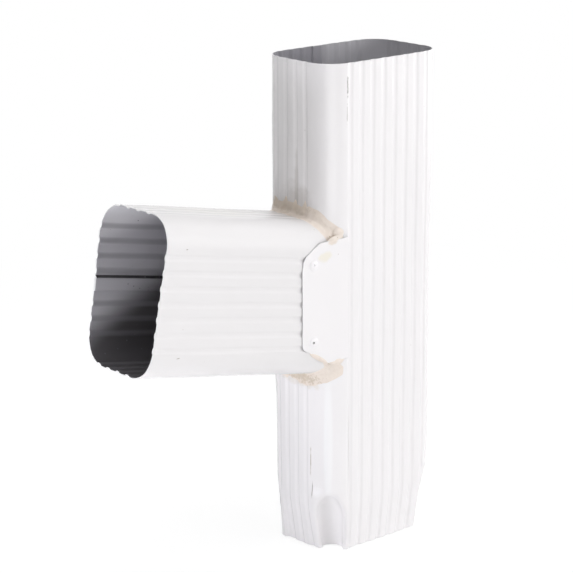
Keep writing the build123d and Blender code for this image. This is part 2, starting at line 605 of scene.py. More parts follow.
@dataclass(frozen=True)
class Unevenness:
    """The slight hollows of thin sheet between its folds, always inwards."""

    depth: float = 0.22
    length: float = 150.0
    width: float = 90.0
    ripple_depth: float = 0.07
    ripple_length: float = 61.0
    ripple_width: float = 47.0
    phase: float = 0.8

    def at(self, stations: np.ndarray, place: np.ndarray | float) -> np.ndarray:
        """Find how far the sheet lies in.

        Args:
            stations: Distances along the outline.
            place: Distance along the tube, one for all stations or one for each.

        Returns:
            The distances inwards.
        """
        turn = 2 * math.pi
        broad = 1 + np.sin(turn * (place / self.length + stations / self.width) + self.phase)
        fine = 1 + np.sin(turn * (place / self.ripple_length - stations / self.ripple_width))
        return self.depth * broad + self.ripple_depth * fine


@dataclass(frozen=True)
class Pinch:
    """A wall drawn in beside the front left hollow, about one place along it."""

    depth: float
    middle: float
    reach: float
    wall_from: float
    wall_over: float

    def at(self, along: np.ndarray, across_wall: np.ndarray) -> np.ndarray:
        """Return how far each point is drawn in, by its place along and across the wall."""
        held = smooth((-across_wall - self.wall_from) / self.wall_over)
        return self.depth * bump(along, self.middle, self.reach) * held


@dataclass(frozen=True)
class MainTube:
    """The upright tube and the two flaps folded out of it: one sheet."""

    height: float = 352.0
    crimp_height: float = 36.0
    crimp_share: float = 0.09
    fine_rows_to: float = 50.0
    fine_step: float = 1.15
    coarse_step: float = 8.5
    softenings: int = 6
    pinch_height: float = 30.0
    pinch_power: float = 1.5
    narrow_pinch: Pinch = Pinch(2.6, -16.0, 10.0, 38.0, 8.0)
    wide_pinch: Pinch = Pinch(1.4, -24.0, 14.0, 22.0, 6.0)
    draw_in: float = 1.3
    draw_in_width: float = 16.0
    draw_in_top: float = 150.0
    draw_in_fade: float = 50.0
    corner_grooves_from: float = 34.0
    corner_grooves_over: float = 12.0
    outline: RibbedOutline = RibbedOutline(depth=71.0, groove_depth=0.78)
    hollow: CornerHollow = CornerHollow()
    rear_hollow: CornerHollow = CornerHollow(radius=8.6, foot_radius=7.6, reach=18.2, lip=1.5)
    rear_flare: float = 2.6
    rear_flare_inset: float = 0.4
    crease_top: float = 128.0
    crease_top_fade: float = 10.0
    crease_foot: float = 42.0
    crease_foot_fade: float = 8.0
    crease_back: float = 1.4
    crease_past: float = 13.75
    unevenness: Unevenness = Unevenness()
    calm_level: float = 190.0
    calm_reach: float = 60.0
    calm_fade: float = 25.0
    calm_right: float = 14.0
    calm_right_fade: float = 12.0

    def rows(self) -> np.ndarray:
        """Return the heights of the rows of points, close together in the crimped end."""
        fine = np.arange(0.0, self.fine_rows_to, self.fine_step)
        count = int((self.height - self.fine_rows_to) / self.coarse_step) + 1
        return np.concatenate([fine, np.linspace(self.fine_rows_to, self.height, count)])

    def plain_section(self, stations: np.ndarray, height: float) -> np.ndarray:
        """Find the section at one height, with its corner hollows but without grooves.

        Args:
            stations: Distances along the outline.
            height: Height above the crimped end.

        Returns:
            Points of the section, as x and y.
        """
        outline = self.outline
        scale = 1 - self.crimp_share * max(0.0, 1 - height / self.crimp_height)
        points, _ = outline.place(stations)
        points = points * scale
        starts = outline.starts()
        for number, wall in enumerate(Wall):
            first, last = starts[wall.value + 1], starts[wall.value + 2]
            held = (stations >= first) & (stations < last)
            shares = 2 * (stations[held] - first) / (last - first) - 1
            centre = outline.corner(number)
            inset = (1 - scale) * np.abs(centre).sum() / math.sqrt(2)
            hollow, radius = self.hollow, outline.radius * scale
            if wall is Wall.BACK:
                flare = self.rear_flare * (1 - scale) / self.crimp_share
                hollow, radius = self.rear_hollow, radius + flare
                inset = inset + self.rear_flare_inset * flare
            local = hollow.corner_points(shares, height, radius, inset)
            turn = (number - 0.5) * QUARTER
            spin = np.array([(math.cos(turn), math.sin(turn)), (-math.sin(turn), math.cos(turn))])
            points[held] = centre * scale + local @ spin
        return self.pinch(points, height)

    def pinch(self, points: np.ndarray, height: float) -> np.ndarray:
        """Draw the walls in beside the front left hollow, as the crimping tool does.

        Args:
            points: Points of a section.
            height: Height above the crimped end.

        Returns:
            The moved points.
        """
        share = max(0.0, 1 - height / self.pinch_height) ** self.pinch_power
        x, y = points[:, 0], points[:, 1]
        return points + share * np.stack([self.narrow_pinch.at(y, x), self.wide_pinch.at(x, y)], axis=1)

    def crease(self, stations: np.ndarray, points: np.ndarray, height: float) -> np.ndarray:
        """Flatten the sheet beside the front left corner, down to the crease above its hollow.

        Args:
            stations: Distances along the outline.
            points: Points of a section there.
            height: Height above the crimped end.

        Returns:
            The moved points.
        """
        start = self.outline.starts()[Wall.LEFT.value + 1]
        first, last = start - self.crease_back, start + self.crease_past
        share = smooth((self.crease_top - height) / self.crease_top_fade)
        share = share * smooth((height - self.crease_foot) / self.crease_foot_fade)
        ends, _ = self.outline.place(np.array([first, last]))
        held = (stations > first) & (stations < last)
        chord = ends[0] + ((stations - first) / (last - first))[:, None] * (ends[1] - ends[0])
        return np.where(held[:, None], points + share * (chord - points), points)

    def sag(self, stations: np.ndarray, x: np.ndarray, height: np.ndarray) -> np.ndarray:
        """Find how far the uneven sheet lies in, which is nowhere beside the flaps.

        Args:
            stations: Distances along the outline.
            x: Place of each across the wide walls.
            height: Height of each above the crimped end.

        Returns:
            The distances inwards.
        """
        calm = 1 - smooth((np.abs(height - self.calm_level) - self.calm_reach) / self.calm_fade)
        calm = calm * smooth(-(x + self.calm_right) / self.calm_right_fade)
        return self.unevenness.at(stations, height) * (1 - calm)

    def section(self, stations: np.ndarray, height: float) -> tuple:
        """Find the outer and inner points of the sheet at one height.

        Args:
            stations: Distances along the outline.
            height: Height above the crimped end.

        Returns:
            The outer and the inner points.
        """
        outline = self.outline
        plain = self.crease(stations, self.plain_section(stations, height), height)
        out = across(plain)
        starts = outline.starts()
        part = np.searchsorted(starts, stations, side="right") - 1
        in_corner = smooth((height - self.corner_grooves_from) / self.corner_grooves_over)
        fade = np.where(part % 2 == 1, in_corner, 1.0)
        slit, fold = outline.seam_at(stations)
        depth = outline.groove_at(stations) * fade + slit + self.sag(stations, plain[:, 0], height)
        rear = (starts[Wall.BACK.value + 1] + starts[Wall.LEFT.value]) / 2
        rear_corner = bump(outline.apart(stations, rear), 0.0, self.draw_in_width)
        depth = depth + self.draw_in * rear_corner * smooth((self.draw_in_top - height) / self.draw_in_fade)
        outer = plain - out * depth[:, None]
        inner = outer - across(outer) * SHEET - out * fold[:, None]
        lift = np.full((len(stations), 1), height)
        return np.hstack([outer, lift]), np.hstack([inner, lift])

    def make(self, finishes: list) -> bpy.types.Object:
        """Make the tube before the branch is let in.

        Args:
            finishes: Materials of the sheet.

        Returns:
            The tube's object.
        """
        stations = self.outline.stations()
        heights = self.rows()
        pairs = [self.section(stations, height) for height in heights]
        outer, inner = (np.stack(side) for side in zip(*pairs))
        last = np.searchsorted(heights, self.fine_rows_to)
        for grid in (outer, inner):
            for _ in range(self.softenings):
                middle = (grid[: last - 1] + 2 * grid[1:last] + grid[2 : last + 1]) / 4
                grid[1:last, :, :2] = middle[:, :, :2]
        points, faces, skins = tube_shell(outer, inner)
        body = make_object("upright_tube", points, faces, finishes, skins)
        # Where the grooves lie, for the painted shade along the ribs inside.
        ribs = self.outline.groove_at(stations) / self.outline.groove_depth
        mark_points(body, "rib", np.tile(ribs, 2 * len(heights)))
        return body


@dataclass(frozen=True)
class Flap:
    """A flap folded out flat from the tube, over one wide wall of the branch."""

    facing: int
    root: float = -35.9
    curl: float = 0.32
    curl_from: float = 66.0
    curl_over: float = 11.0
    riveted_reach: float = 7.0
    riveted_share: float = 0.8
    levels: tuple = (147.0, 151.0, 156.8, 160.8, 163.0, 215.0, 222.4, 226.0, 233.2)
    edges: tuple = (-54.0, -60.0, -69.5, -76.4, -77.2, -77.2, -76.0, -73.6, -61.0)
    rows: int = 96
    columns: int = 18

    def shell(self, outline: RibbedOutline) -> tuple:
        """Build the flap.

        Args:
            outline: Outline of the tube, whose first groove runs along the flap's root.

        Returns:
            The points, the faces and the skin of each face.
        """
        heights = np.linspace(self.levels[0], self.levels[-1], self.rows)
        edge = np.interp(heights, self.levels, self.edges)
        shares = np.linspace(0.0, 1.0, self.columns)
        x = self.root + shares[None, :] * (edge[:, None] - self.root)
        z = np.repeat(heights[:, None], self.columns, axis=1)
        lift = self.curl * smooth((-x - self.curl_from) / self.curl_over)
        for level in RIVET_LEVELS:
            lift = lift * (1 - self.riveted_share * bump(z, level, self.riveted_reach))
        lift = lift - outline.groove_profile(x - outline.front_first)
        outer = np.stack([x, self.facing * (FLAP_PLANE + lift), z], axis=-1).reshape(-1, 3)
        points = np.concatenate([outer, outer - (0.0, self.facing * SHEET, 0.0)])
        total = self.rows * self.columns
        outside = grid_faces(self.rows, self.columns, closed=False, flipped=True)
        ring = np.concatenate([
            np.arange(self.columns),
            np.arange(1, self.rows) * self.columns + self.columns - 1,
            total - 2 - np.arange(self.columns - 1),
            np.arange(self.rows - 2, 0, -1) * self.columns,
        ])
        after = np.roll(ring, -1)
        rim = np.stack([ring, ring + total, after + total, after], axis=-1)
        faces, skins = join_sides(outside, outside[:, ::-1] + total, rim)
        if self.facing > 0:
            faces = faces[:, ::-1]
        return points, faces.tolist(), skins


@dataclass(frozen=True)
class BranchTube:
    """The sloping branch, cut off plumb inside the upright tube's window."""

    level: float = 178.9
    slope: float = math.radians(11.4)
    length: float = 200.0
    end_x: float = -50.0
    skew: float = 1.9
    skew_over: float = 70.0
    front_cut: float = 0.8
    ragged: float = 0.12
    ragged_turns: tuple = (7, 19)
    fold_mark: float = 0.6
    inner_rows: tuple = (0.0, 0.86, 22)
    mouth_rows: tuple = (0.875, 1.0, 11)
    mouth_reach: float = 9.0
    mouth_deepening: float = 1.3
    root_reach: float = 47.0
    root_fade: float = 10.0
    root_deepening: float = 1.1
    root_past_flat: float = 4.0
    outline: RibbedOutline = RibbedOutline(depth=69.8, groove_depth=0.38, front_first=-31.7, front_count=7)
    unevenness: Unevenness = Unevenness(depth=0.1, length=120.0, ripple_depth=0.04)

    def dip(self, stations: np.ndarray, share: np.ndarray) -> np.ndarray:
        """Find how far the sheet's outside lies under its plain outline.

        Args:
            stations: Distances along the outline.
            share: How far along the branch, 0 at its inner end and 1 at its mouth.

        Returns:
            The distances inwards, greater at the grooves.
        """
        near_mouth = smooth(1 - (1 - share) * self.length / self.mouth_reach)
        half = self.outline.walls()[Wall.FRONT.value] / 2
        middles = (self.outline.middle(wall) for wall in (Wall.FRONT, Wall.BACK))
        apart = np.min([np.abs(self.outline.apart(stations, middle)) for middle in middles], axis=0)
        near_root = smooth((self.root_reach - share * self.length) / self.root_fade)
        near_root = near_root * smooth((half + self.root_past_flat - apart) / self.root_past_flat)
        deeper = 1 + self.mouth_deepening * near_mouth + self.root_deepening * near_root
        return self.outline.groove_at(stations) * deeper + self.unevenness.at(stations, share * self.length)

    def to_part(self, section: np.ndarray, reach: np.ndarray) -> np.ndarray:
        """Carry points of the branch's outline out along its axis, into the part's frame.

        Args:
            section: Points of the outline, the first number pointing up the branch's face.
            reach: Distance of each from the upright tube's middle, along the branch.

        Returns:
            The points in the part's frame.
        """
        up, side = section[:, 0], section[:, 1]
        x = up * math.sin(self.slope) - reach * math.cos(self.slope)
        z = self.level + up * math.cos(self.slope) + reach * math.sin(self.slope)
        return np.stack([x, side, z], axis=1)

    def reach_of(self, section: np.ndarray, x: np.ndarray) -> np.ndarray:
        """Return the distance along the branch at which its outline's points meet x."""
        return (section[:, 0] * math.sin(self.slope) - x) / math.cos(self.slope)

    def mouth(self, stations: np.ndarray, plain: np.ndarray) -> np.ndarray:
        """Find where the sheet ends, cut slightly ragged and out of square.

        Args:
            stations: Distances along the outline.
            plain: Points of the outline there.

        Returns:
            The distance of the end along the branch at each station.
        """
        turn = 2 * math.pi * stations / self.outline.starts()[-1]
        coarse, fine = self.ragged_turns
        end = self.length - self.ragged * (2 + np.sin(coarse * turn) + np.sin(fine * turn + 1))
        upper, rear = smooth(plain[:, 0] / self.skew_over + 0.5), smooth(plain[:, 1] / self.skew_over + 0.5)
        return end + self.skew * rear * upper - self.front_cut * (1 - rear)

    def make(self, finishes: list) -> bpy.types.Object:
        """Make the branch.

        Args:
            finishes: Materials of the sheet.

        Returns:
            The branch's object.
        """
        outline = self.outline
        stations = outline.stations()
        plain, out = outline.place(stations)
        slit, fold = outline.seam_at(stations)
        mouth = self.mouth(stations, plain)
        shares = np.concatenate([np.linspace(*self.inner_rows), np.linspace(*self.mouth_rows)])
        outers, inners = [], []
        for share in shares:
            depth = slit + self.dip(stations, share)
            outer = plain - out * depth[:, None]
            inner = outer - across(outer) * SHEET - out * fold[:, None]
            for grid, section in ((outers, outer), (inners, inner)):
                start = self.reach_of(section, np.full(len(section), self.end_x))
                grid.append(self.to_part(section, start + share * (mouth - start)))
        points, faces, skins = tube_shell(np.stack(outers), np.stack(inners))
        piece = make_object("side_branch", points, faces, finishes, skins)
        # Where the grooves lie, for the painted shade along the ribs inside.
        ribs = outline.groove_at(stations) / outline.groove_depth
        mark_points(piece, "rib", np.tile(ribs, 2 * len(shares)))
        # The crevice beside the lock seam's fold, for the painted shadow there.
        past = outline.apart(stations, outline.seam()) + outline.seam_width / 2 + outline.slit_past
        mark_points(piece, "fold", np.tile(np.abs(past) < self.fold_mark, 2 * len(shares)))
        return piece


@dataclass(frozen=True)
class Window:
    """The opening between the two flaps that lets the branch into the upright tube."""

    branch: BranchTube
    flap: Flap
    clearance: float = 0.4
    far: float = 130.0
    left: float = -90.0
    half_width: float = 60.0
    count: int = 96

    def cutters(self) -> list:
        """Shape the two closed forms that the window is cut with.

        Returns:
            The points and faces of the sloping one for the branch and of the box for the flaps.
        """
        branch, count = self.branch, self.count
        stations = np.linspace(0.0, branch.outline.starts()[-1], count, endpoint=False)
        section, out = branch.outline.place(stations)
        section = section + out * self.clearance
        start = branch.reach_of(section, np.full(count, branch.end_x + self.clearance))
        near = branch.to_part(section, start)
        far = branch.to_part(section, np.full(count, self.far))
        ends = [list(range(count))[::-1], list(range(count, 2 * count))]
        prism = np.concatenate([near, far]), grid_faces(2, count).tolist() + ends
        left, right, half = self.left, self.flap.root - SHEET, self.half_width
        foot = ((left, -half), (right, -half), (right, half), (left, half))
        corners = [(x, y, z) for z in (self.flap.levels[0], self.flap.levels[-1]) for x, y in foot]
        box = [(3, 2, 1, 0), (4, 5, 6, 7), (0, 1, 5, 4), (1, 2, 6, 5), (2, 3, 7, 6), (3, 0, 4, 7)]
        return [prism, (np.array(corners), box)]

    def cut(self, tube: bpy.types.Object) -> None:
        """Cut the window out of the upright tube.

        Args:
            tube: The tube's object, which keeps its finishes.
        """
        tools = []
        for points, faces in self.cutters():
            tool = make_object("window_tool", points, faces)
            cut = tube.modifiers.new("window", "BOOLEAN")
            cut.operation = "DIFFERENCE"
            cut.solver = "EXACT"
            cut.object = tool
            tools.append(tool)
        apply_modifiers(tube)
        for tool in tools:
            bpy.data.objects.remove(tool)


def wander(places: np.ndarray, seed: int, length: float) -> np.ndarray:
    """Make values that wander smoothly between -1 and 1.

    Args:
        places: Where the values are wanted.
        seed: Picks the pattern.
        length: Distance over which they change.

    Returns:
        One value for each place.
    """
    knots = np.random.default_rng(seed).uniform(-1.0, 1.0, KNOTS)
    place = places / length + KNOTS / 2
    first = np.floor(place).astype(int) % (KNOTS - 1)
    share = smooth(place - np.floor(place))
    return knots[first] * (1 - share) + knots[first + 1] * share


@dataclass(frozen=True)
class SealantRun:
    """Sealant smeared into the corner where the branch meets the narrow wall, by level."""

    level: Level
    rise: float
    run: float
    front_run: float
    tongue: float
    seed: int
    end: float = 33.3
    skin: float = 0.85
    buried: float = 0.48
    steps: int = 230
    profile_steps: int = 20
    rise_swings: tuple = ((0.16, 9.0), (0.1, 2.6))
    run_swings: tuple = ((0.14, 8.0), (0.08, 2.3))
    tongue_past: float = 0.4
    tongue_reach: float = 1.3
    tongue_base: float = 0.75
    tongue_swing: float = 0.5
    tongue_length: float = 10.0
    front_from: float = 28.5
    front_over: float = 4.0
    close_past: float = 0.6
    close_over: float = 2.2
    rise_end: float = 0.45
    run_end: float = 0.6
    skin_over: float = 0.3
    least_skin: float = 0.08
    free_over: float = 0.25
    foot_shares: tuple = (0.33, 0.66)
    lump_depth: float = 0.9

    def main_points(self, tube: MainTube, around: np.ndarray, z: np.ndarray, sink: float) -> np.ndarray:
        """Find points on or under the upright tube's surface.

        Args:
            tube: The upright tube.
            around: Distance round its narrow wall from the middle, towards the back.
            z: Height of each point.
            sink: How far they lie under the surface.

        Returns:
            The points in the part's frame.
        """
        outline = tube.outline
        stations = (outline.middle(Wall.LEFT) - around) % outline.starts()[-1]
        points, out = outline.place(stations)
        under = outline.groove_at(stations) + tube.sag(stations, points[:, 0], z) + sink
        return np.column_stack([points - out * under[:, None], z])

    def branch_points(
        self, branch: BranchTube, around: np.ndarray, reach: np.ndarray, sink: float
    ) -> np.ndarray:
        """Find points on or under the branch's surface.

        Args:
            branch: The branch.
            around: Distance round its upper or lower narrow wall from the middle.
            reach: Distance of each point along the branch's axis.
            sink: How far they lie under the surface.

        Returns:
            The points in the part's frame.
        """
        outline = branch.outline
        wall = Wall.RIGHT if self.level is Level.UPPER else Wall.LEFT
        stations = (outline.middle(wall) + self.level.value * around) % outline.starts()[-1]
        section, out = outline.place(stations)
        start = branch.reach_of(section, np.full(len(section), branch.end_x))
        under = branch.dip(stations, (reach - start) / (branch.length - start)) + sink
        return branch.to_part(section - out * under[:, None], reach)

    @staticmethod
    def unroll(outline: RibbedOutline, side: np.ndarray) -> tuple:
        """Turn places across a tube into distances round its narrow wall.

        Args:
            outline: The tube's outline.
            side: Places across the narrow wall, along y.

        Returns:
            The distances round the wall, and how far out the wall stands there.
        """
        flat = outline.depth / 2 - outline.radius
        past = np.clip(np.abs(side) - flat, 0.0, outline.radius)
        angle = np.arcsin(past / outline.radius)
        around = np.sign(side) * (np.minimum(np.abs(side), flat) + outline.radius * angle)
        stand = outline.width / 2 - outline.radius + outline.radius * np.cos(angle)
        return around, stand

    def swing(self, side: np.ndarray, swings: tuple, first: int) -> np.ndarray:
        """Find factors about 1 that wander along the joint.

        Args:
            side: Places along the joint.
            swings: The share and the length of each swing.
            first: Number of the first swing, which picks its pattern.

        Returns:
            The factors.
        """
        factors = np.ones_like(side)
        for number, (share, length) in enumerate(swings, first):
            factors = factors + share * wander(side, self.seed + number, length)
        return factors

    def spread(self, side: np.ndarray, tube: MainTube) -> tuple:
        """Find how far the sealant is smeared from the joint.

        Args:
            side: Places along the joint.
            tube: The upright tube, whose grooves draw the sealant along.

        Returns:
            The distances up or down the upright tube, and out along the branch.
        """
        rise = self.rise * self.swing(side, self.rise_swings, 0)
        swell = self.tongue_base + self.tongue_swing * wander(side, self.seed + 2, self.tongue_length)
        for groove in tube.outline.side_first + tube.outline.pitch * np.arange(tube.outline.side_count):
            rise = rise + self.tongue * bump(side, groove + self.tongue_past, self.tongue_reach) * swell
        run = self.run * self.swing(side, self.run_swings, 3)
        run = run + (self.front_run - self.run) * smooth((-side - self.front_from) / self.front_over)
        close = smooth((self.end + self.close_past - np.abs(side)) / self.close_over)
        rise = rise * (self.rise_end + (1 - self.rise_end) * close)
        return rise, run * (self.run_end + (1 - self.run_end) * close)

    def shell(self, tube: MainTube, branch: BranchTube) -> tuple:
        """Build the closed bead.

        Args:
            tube: The upright tube.
            branch: The branch.

        Returns:
            The points, the faces, and for each point how free its surface is.
        """
        sign = self.level.value
        side = np.linspace(-self.end, self.end, self.steps)
        main_around, stand = self.unroll(tube.outline, side)
        branch_around, height = self.unroll(branch.outline, side)
        up = sign * height
        reach = branch.reach_of(np.column_stack([up, side]), -stand)
        z = branch.level + up * math.cos(branch.slope) + reach * math.sin(branch.slope)
        on_main = np.gradient(np.column_stack([main_around, z]), axis=0)
        on_main /= np.linalg.norm(on_main, axis=1)[:, None]
        on_branch = np.gradient(np.column_stack([branch_around, reach]), axis=0)
        on_branch /= np.linalg.norm(on_branch, axis=1)[:, None]
        rise, run = self.spread(side, tube)

        def main_leg(share: float, sink: float) -> np.ndarray:
            """Return the line at that share of the rise, so far under the upright tube's surface."""
            around, lift = np.stack([-on_main[:, 1], on_main[:, 0]]) * sign * rise * share
            return self.main_points(tube, main_around + around, z + lift, sink)

        def branch_leg(share: float, sink: float) -> np.ndarray:
            """Return the line at that share of the run, so far under the branch's surface."""
            around, out = np.stack([-on_branch[:, 1], on_branch[:, 0]]) * run * share
            return self.branch_points(branch, branch_around + around, reach + out, sink)

        joint = main_leg(0.0, 0.0)
        inward = (main_leg(0.0, 1.0) - joint) + (branch_leg(0.0, 1.0) - joint)
        inward /= np.linalg.norm(inward, axis=1)[:, None]
        lines, free = [main_leg(1.0, self.buried)], [0.0]
        for u in np.arange(self.profile_steps + 1) / self.profile_steps:
            edge = min(u, 1 - u)
            skin = -self.skin * smooth(edge / self.skin_over + self.least_skin)
            ends = (1 - u) ** 3 * main_leg(1.0, skin) + u**3 * branch_leg(1.0, skin)
            lines.append(ends + 3 * u * (1 - u) * joint + (1 - (1 - u) ** 3 - u**3) * skin * inward)
            free.append(smooth(edge / self.free_over))
        near, far = self.foot_shares
        lines += [branch_leg(share, self.buried) for share in (1.0, far, near)]
        lines.append(0.5 * (main_leg(0.0, self.buried) + branch_leg(0.0, self.buried)))
        lines += [main_leg(share, self.buried) for share in (near, far)]
        free += [0.0] * (len(lines) - len(free))
        grid = np.stack(lines, axis=1)
        rows, count = grid.shape[:2]
        ring = np.arange(count)
        ends = [ring.tolist(), ((rows - 1) * count + ring[::-1]).tolist()]
        faces = grid_faces(rows, count, flipped=True).tolist() + ends
        if self.level is Level.LOWER:
            faces = [face[::-1] for face in faces]
        return grid.reshape(-1, 3), faces, np.tile(free, rows)


@dataclass(frozen=True)
class Dab:
    """A flat dab of sealant beside a flap's edge: its middle, its reach each way and its tilt."""

    centre: tuple
    reach: tuple
    tilt: float
    free: float = 0.3
    rings: int = 24
    segments: int = 64

    def shell(self) -> tuple:
        """Build the closed dab.

        Returns:
            The points, the faces, and for each point how free its surface is.
        """
        polar = np.linspace(0.0, math.pi, self.rings)[1:-1, None]
        turn = np.linspace(0.0, 2 * math.pi, self.segments, endpoint=False)[None, :]
        ring = np.stack([
            np.sin(polar) * np.cos(turn), -np.cos(polar) * np.ones_like(turn), np.sin(polar) * np.sin(turn)
        ], axis=-1).reshape(-1, 3)
        points = np.concatenate([ring, [(0.0, -1.0, 0.0), (0.0, 1.0, 0.0)]]) * np.array(self.reach)
        cosine, sine = math.cos(self.tilt), math.sin(self.tilt)
        points = points @ np.array([(cosine, 0.0, sine), (0.0, 1.0, 0.0), (-sine, 0.0, cosine)])
        faces = grid_faces(self.rings - 2, self.segments).tolist()
        last, front = (self.rings - 3) * self.segments, len(ring)
        for here in range(self.segments):
            after = (here + 1) % self.segments
            faces += [(front, after, here), (front + 1, last + here, last + after)]
        return points + np.array(self.centre), faces, np.full(len(points), self.free)


class LumpTree:
    """A geometry node tree that makes smeared sealant lumpy along its free surface."""

    def __init__(self) -> None:
        """Build the tree once, to be used by each run of sealant."""
        wires, source, self.sockets = Wiring.start("GeometryNodeTree", "sealant_lumps", {
            "Geometry": ["Geometry"], "Float": ["Depth", "Lump Scale", "Seed"], "Material": ["Finish"],
        }, ("Geometry", "Geometry"))
        noise = wires.add("ShaderNodeTexNoise", {
            "W": source["Seed"], "Scale": source["Lump Scale"], "Detail": 2.0,
        }, noise_dimensions="4D")
        free = wires.add("GeometryNodeInputNamedAttribute", {"Name": "free"}, data_type="FLOAT")
        depth = wires.math("MULTIPLY", wires.math("SUBTRACT", noise, 0.5), source["Depth"])
        depth = wires.math("MULTIPLY", depth, free.outputs["Attribute"])
        normal = wires.add("GeometryNodeInputNormal").outputs["Normal"]
        offset = wires.add("ShaderNodeVectorMath", {0: normal, "Scale": depth}, operation="SCALE")
        moved = wires.add("GeometryNodeSetPosition", {"Geometry": source["Geometry"], "Offset": offset})
        whole = wires.add("GeometryNodeRealizeInstances", {"Geometry": moved})
        self.tree = wires.end(
            wires.add("GeometryNodeSetMaterial", {"Geometry": whole, "Material": source["Finish"]})
        )

    def apply(
        self,
        piece: bpy.types.Object,
        depth: float,
        seed: int,
        finish: bpy.types.Material,
        scale: float = 320.0,
    ) -> None:
        """Run the tree on a piece and keep the result as its plain mesh.

        Args:
            piece: The sealant's object.
            depth: How far the lumps swing, in metres.
            seed: Picks the pattern of lumps.
            finish: The sealant's material.
            scale: How close the lumps are.
        """
        run_tree(piece, self.tree, self.sockets, {
            "Depth": depth, "Lump Scale": scale, "Seed": float(seed), "Finish": finish,
        })


@dataclass(frozen=True)
class Rivets:
    """The four blind rivets through the flaps, set out by a geometry node tree.

    The rows of a hole are radii and depths under the head's top. Those of a shank are radii and
    heights above the flap.
    """

    out: float = -67.0
    head_radius: float = 3.95
    head_height: float = 1.5
    head_edge: float = 0.12
    dome_from: float = 1.1
    dome_to: float = 3.8
    dome_rows: int = 12
    hole: tuple = ((0.35, 0.7), (0.8, 0.6), (0.85, 0.45), (0.93, 0.12))
    shank: tuple = ((2.0, 0.0), (2.0, -2.8), (2.5, -2.8), (3.0, -3.4), (3.0, -4.6), (1.8, -5.4))
    hole_shift: float = 1.7
    turn: float = 0.8 * math.pi
    stray: float = 0.3
    seed: int = 4
    segments: int = 48

    def profile(self) -> list:
        """Find the rows of one rivet.

        Returns:
            The radius and the height of each row, from the hole's bottom over the head to the tail.
        """
        dome_radius = (self.head_radius**2 + self.head_height**2) / (2 * self.head_height)
        reach = np.linspace(self.dome_from, self.dome_to, self.dome_rows)
        dome = np.sqrt(dome_radius**2 - reach**2) - (dome_radius - self.head_height)
        hole = [(radius, self.head_height - under) for radius, under in self.hole]
        edge = [(self.head_radius, self.head_edge), (self.head_radius, 0.0)]
        return [*hole, *zip(reach, dome), *edge, *self.shank]

    def one(self) -> tuple:
        """Build one rivet standing on its plate.

        Returns:
            The points, the faces, and for each face whether it lies in the hole.
        """
        rows = self.profile()
        angle = np.linspace(0.0, 2 * math.pi, self.segments, endpoint=False)
        ring = np.stack([np.cos(angle), np.sin(angle)], axis=1)
        points = np.concatenate([
            np.column_stack([ring * radius, np.full(self.segments, height)]) for radius, height in rows
        ])
        off = np.hypot(points[:, 0], points[:, 1]) / self.head_radius
        points[:, 0] += self.hole_shift * (1 - off**2) * (points[:, 2] > 0)
        sides = grid_faces(len(rows), self.segments, flipped=True)
        last = (len(rows) - 1) * self.segments + np.arange(self.segments)
        faces = sides.tolist() + [np.arange(self.segments).tolist(), last[::-1].tolist()]
        in_hole = np.arange(len(sides)) // self.segments < len(self.hole) - 1
        return points, faces, in_hole.tolist() + [True, False]

    def tree(self) -> tuple:
        """Build the tree that stands a rivet on each flap at both levels.

        Returns:
            The tree and its named inputs.
        """
        wires, source, sockets = Wiring.start("GeometryNodeTree", "rivet_rows", {
            "Geometry": ["Geometry"],
            "Vector": ["Front Start", "Back Start", "Step"],
            "Float": ["Turn", "Stray", "Filled Above"],
            "Int": ["Seed"],
            "Material": ["Finish", "Hole Finish"],
        }, ("Geometry", "Geometry"))
        join = wires.add("GeometryNodeJoinGeometry")
        for start, tilt in (("Front Start", QUARTER), ("Back Start", -QUARTER)):
            line = wires.add("GeometryNodeMeshLine", {
                "Count": len(RIVET_LEVELS), "Start Location": source[start], "Offset": source["Step"],
            })
            low = wires.math("MULTIPLY", source["Stray"], -1.0)
            stray = wires.add("FunctionNodeRandomValue", {
                2: low, 3: source["Stray"], "Seed": source["Seed"],
            }, data_type="FLOAT").outputs[1]
            spin = wires.add("ShaderNodeCombineXYZ", {"Z": wires.math("ADD", source["Turn"], stray)})
            turn = wires.add("FunctionNodeRotateEuler", {"Rotation": spin, "Rotate By": (tilt, 0.0, 0.0)})
            stood = wires.add("GeometryNodeInstanceOnPoints", {
                "Points": line, "Instance": source["Geometry"], "Rotation": turn,
            })
            wires.fill(join, {"Geometry": stood})
        whole = wires.add("GeometryNodeRealizeInstances", {"Geometry": join})
        hole = wires.add("GeometryNodeInputNamedAttribute", {"Name": "hole"}, data_type="BOOLEAN")
        place = wires.add("ShaderNodeSeparateXYZ", {0: wires.add("GeometryNodeInputPosition")})
        low = wires.math("LESS_THAN", place.outputs["Z"], source["Filled Above"])
        open_hole = wires.math("MULTIPLY", hole.outputs["Attribute"], low)
        paint = wires.add("GeometryNodeSetMaterial", {"Geometry": whole, "Material": source["Finish"]})
        dark = wires.add("GeometryNodeSetMaterial", {
            "Geometry": paint, "Selection": open_hole, "Material": source["Hole Finish"],
        })
        return wires.end(dark), sockets

    def build(self, finish: bpy.types.Material, hole_finish: bpy.types.Material) -> bpy.types.Object:
        """Make the four rivets as one plain mesh.

        Args:
            finish: Material of the rivets.
            hole_finish: Material inside the mandrel holes.

        Returns:
            The object with all four rivets.
        """
        points, faces, in_hole = self.one()
        piece = make_object("rivets", points, faces)
        mark = piece.data.attributes.new("hole", "BOOLEAN", "FACE")
        mark.data.foreach_set("value", in_hole)
        upper, lower = RIVET_LEVELS
        run_tree(piece, *self.tree(), {
            "Front Start": in_metres((self.out, -FLAP_PLANE, lower)),
            "Back Start": in_metres((self.out, FLAP_PLANE, lower)),
            "Step": in_metres((0.0, 0.0, upper - lower)),
            "Turn": self.turn,
            "Stray": self.stray,
            "Seed": self.seed,
            "Finish": finish,
            "Hole Finish": hole_finish,
            "Filled Above": (lower + upper) / 2 * MM,
        })
        return piece


